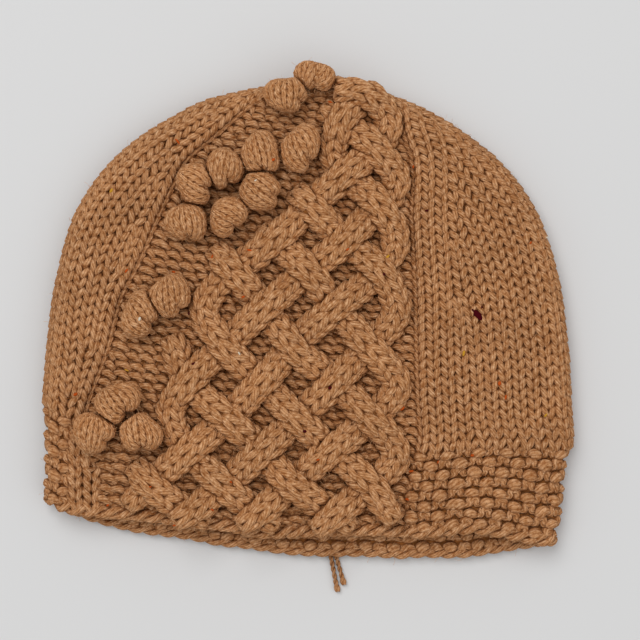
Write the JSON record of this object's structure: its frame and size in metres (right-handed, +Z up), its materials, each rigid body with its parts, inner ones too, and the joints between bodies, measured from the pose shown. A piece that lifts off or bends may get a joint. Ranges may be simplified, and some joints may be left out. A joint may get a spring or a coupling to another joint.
{
  "type": "knitted beanie hat",
  "caption": "Knitted hat lying flat, with a woven cable lattice and knitted bobbles on its front, a moss stitch brim and a short loose yarn end.",
  "frame": {"origin": "on the surface that the hat lies on, under the middle of the box round the hat without its loose yarn ends", "axes": "+X to the right across the hat, +Y from the hem to the crown, +Z up from the surface through the back layer to the front"},
  "size_m": [0.2287, 0.2291, 0.0277],
  "materials": {
    "knit": "matte tweed wool knit",
    "cable": "matte tweed wool knit",
    "bobble": "matte tweed wool knit",
    "yarn": "matte wool yarn"
  },
  "bodies": {
    "root": {"hat_body": "knit", "cable_rope_1": "cable", "cable_rope_2": "cable", "cable_rope_3": "cable", "cable_rope_4": "cable", "cable_rope_5": "cable", "cable_rope_6": "cable", "cable_rope_7": "cable", "cable_rope_8": "cable", "bobble_1": "bobble", "bobble_2": "bobble", "bobble_3": "bobble", "bobble_4": "bobble", "bobble_5": "bobble", "bobble_6": "bobble", "bobble_7": "bobble", "bobble_8": "bobble", "bobble_9": "bobble", "bobble_10": "bobble", "bobble_11": "bobble", "bobble_12": "bobble", "bobble_13": "bobble", "bobble_14": "bobble", "yarn_end_left": "yarn", "yarn_end_right": "yarn"}
  },
  "joints": []
}
